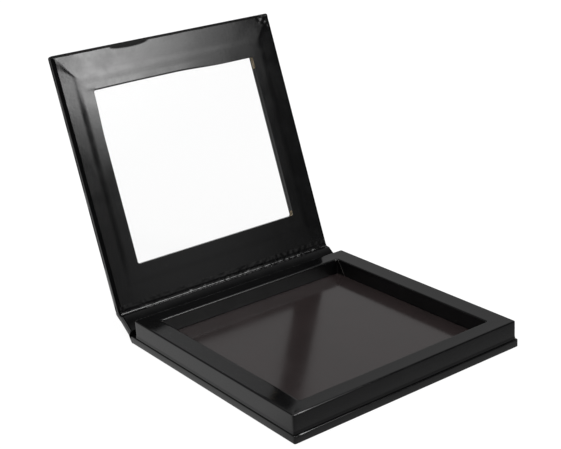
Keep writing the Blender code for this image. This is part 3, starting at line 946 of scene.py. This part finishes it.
# Lid liner: the lid's inside sheet. It lies over the wrap's turn-ins, so their edges and mitres
# show through it as soft steps, and it is turned through the window to the film.
liner_paper = 0.22 * mm
liner_foot = lid_foot + 2.4 * mm
face_half = half_width - side_strip
liner_outline = ((-face_half, liner_foot), (face_half, lid_high.z - end_strip))
liner_bar = window_low[0] + face_half
liner_corner_round = 0.3 * mm
liner_edge_round = 0.08 * mm
liner_edge_flat = 0.11 * mm
liner_step = 0.4 * mm
liner_cuts = 110
liner_wave = 0.012 * mm
liner_wave_size = 15 * mm
flange_start = 0.4 * mm
relief_zone = 0.02 * mm

# The cut edge wanders, along the lid and up it, by noise taken from two different places
edge_zone = (1.5 * mm, 0)
edge_wander = 0.12 * mm
side_wander_size = 6 * mm
end_wander_size = 7 * mm
end_wander_place = Vector((3, 5, 7))

# The window's top edge hangs down and its left edge leans in. A pair is where a change starts and
# where it is full, from the lid's edge or along the hinge.
hang_start = (15.5 * mm, 18.2 * mm)
hang_end = (19 * mm, 26 * mm)
middle_hang = 0.35 * mm
left_hang = 0.2 * mm
left_hang_zone = (-20 * mm, -45 * mm)
right_hang = 0.95 * mm
right_hang_zone = (0, 28 * mm)
lean_start = 13 * mm
lean_end = (16 * mm, 24 * mm)
corner_clear = (14.5 * mm, 15.5 * mm)
foot_lean = 0.45 * mm
top_lean = 0.7 * mm
top_lean_zone = (78 * mm, 101 * mm)

# The turn-ins under the liner, the mitres where they cross, and the slope of the left and right bars
side_turn_in = 9.1 * mm
side_step_half = 1.8 * mm
side_rise = 0.068 * mm
right_share = 0.3
left_to_right = (-20 * mm, 20 * mm)
top_turn_in = 11.6 * mm
top_step_half = 1.6 * mm
top_rise = 0.024 * mm
bar_zone = (14 * mm, 28 * mm)
bar_slope = 0.0055
top_bar_slope = 0.0045
top_bar_zone = (32 * mm, 10 * mm)
mitre_shift = 2.3 * mm
mitre_half = 0.4 * mm
mitre_blur = 2.0 * mm
mitre_blur_zone = (2 * mm, 7 * mm)
mitre_rise = 0.015 * mm
mitre_fade = (1 * mm, 8 * mm)
mitre_start = (3 * mm, 6 * mm)

# A lens-shaped dent in the top edge, and the lip along the window's top edge
dent_middle = -20.5 * mm
dent_half = 10 * mm
dent_depth = 1.4 * mm
dent_slope = 0.09
lip_start = top_turn_in + 4.0 * mm
lip_end = 18 * mm
lip_slope = 0.014
lip_right_end = (5 * mm, 25 * mm)
lip_left_end = (-50 * mm, -42 * mm)


def window_edge(point, from_side, from_front, from_end):
    """How far the liner's window edge hangs and leans at a point. It is held at the film."""
    held = min(1, max(0, -point.z - liner_face) / (film_low.y - liner_face))
    drop = middle_hang + left_hang * ease(point.x, *left_hang_zone)
    drop += right_hang * ease(point.x, *right_hang_zone)
    hang = (1 - held) * ease(from_front, *hang_start) * (1 - ease(from_front, *hang_end)) * drop
    lean = 0
    if point.x < 0:
        lean = ease(from_side, lean_start, liner_bar + side_strip) * (1 - ease(from_side, *lean_end))
        lean *= ease(from_end, *corner_clear) * (foot_lean + top_lean * ease(point.y, *top_lean_zone))
    return Vector((lean, -hang, 0))


def relief(point, from_side, from_front, from_end):
    """How high the liner's face stands at a point, over the turn-ins, the mitres, the dent and the lip."""
    past_side = ease(from_side, side_turn_in - side_step_half, side_turn_in + side_step_half)
    past_end = ease(from_end, top_turn_in - top_step_half, top_turn_in + top_step_half)
    inner = min(past_side, past_end)
    bar_rise = side_rise * (1 - (1 - right_share) * ease(point.x, *left_to_right))
    rise = top_rise + (bar_rise - top_rise) * ease(from_end, *bar_zone)
    off_mitre = (from_side + mitre_shift - from_front) * cos(pi / 4)
    lapped = mitre_rise * ease(off_mitre, -mitre_half, mitre_half) * (1 - ease(off_mitre, *mitre_fade))
    lapped *= (1 - inner) * ease(from_side, *mitre_start)
    blur = mitre_half + mitre_blur * (1 - ease(from_side, *mitre_blur_zone))
    slope = (bar_slope + top_bar_slope * ease(from_front, *top_bar_zone)) * (1 - ease(off_mitre, -blur, blur))
    lens = max(0, 1 - ((point.x - dent_middle) / dent_half) ** 2) ** 0.5
    dent = dent_slope * max(0, end_strip + dent_depth * lens - from_front) if lens else 0
    lip = max(0, from_front - lip_start) if from_front < lip_end else 0
    lip *= lip_slope * (1 - ease(point.x, *lip_right_end)) * ease(point.x, *lip_left_end)
    return lapped + dent + rise * inner + lip + slope * min(0, from_side - side_turn_in)


def liner_shape(point, across):
    """The liner's own waves, its window edge, and on its face the relief and the crumpled corner."""
    from_side = half_width - abs(point.x)
    from_front = lid_high.z - point.y
    from_end = min(from_front, point.y - lid_low.z)
    moved = point + buckle(point, liner_wave_size, liner_wave)
    wander = edge_wander * ease(across, *edge_zone)
    moved.x += wander * noise.noise(point / side_wander_size)
    moved.y += wander * noise.noise(point / end_wander_size + end_wander_place)
    moved += window_edge(point, from_side, from_front, from_end)
    if point.z >= -liner_face - relief_zone:
        moved.z += relief(point, from_side, from_front, from_end) + crumple(point.x, point.y)
    return moved


liner_profile = rounded([
    (0, -liner_face, 0), (liner_bar - liner_edge_flat, -liner_face, 0),
    (liner_bar, -liner_face, liner_edge_round), (liner_bar, -film_low.y + film_clearance, 0),
], liner_step)
liner_rows = frame_rows(
    liner_outline, lid_window, liner_profile, liner_corner_round, window_round, liner_shape, liner_cuts,
)
lid_liner = paper_mesh(
    "lid_liner_paper", lid_axes(liner_rows, facing=-1), liner_paper, liner_black, closed=True,
    place=lid_place, remove=at_bare_corner(liner_face + flange_start, film_low.y + past_film),
)
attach(lid_liner, "lid")
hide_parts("lid_liner")
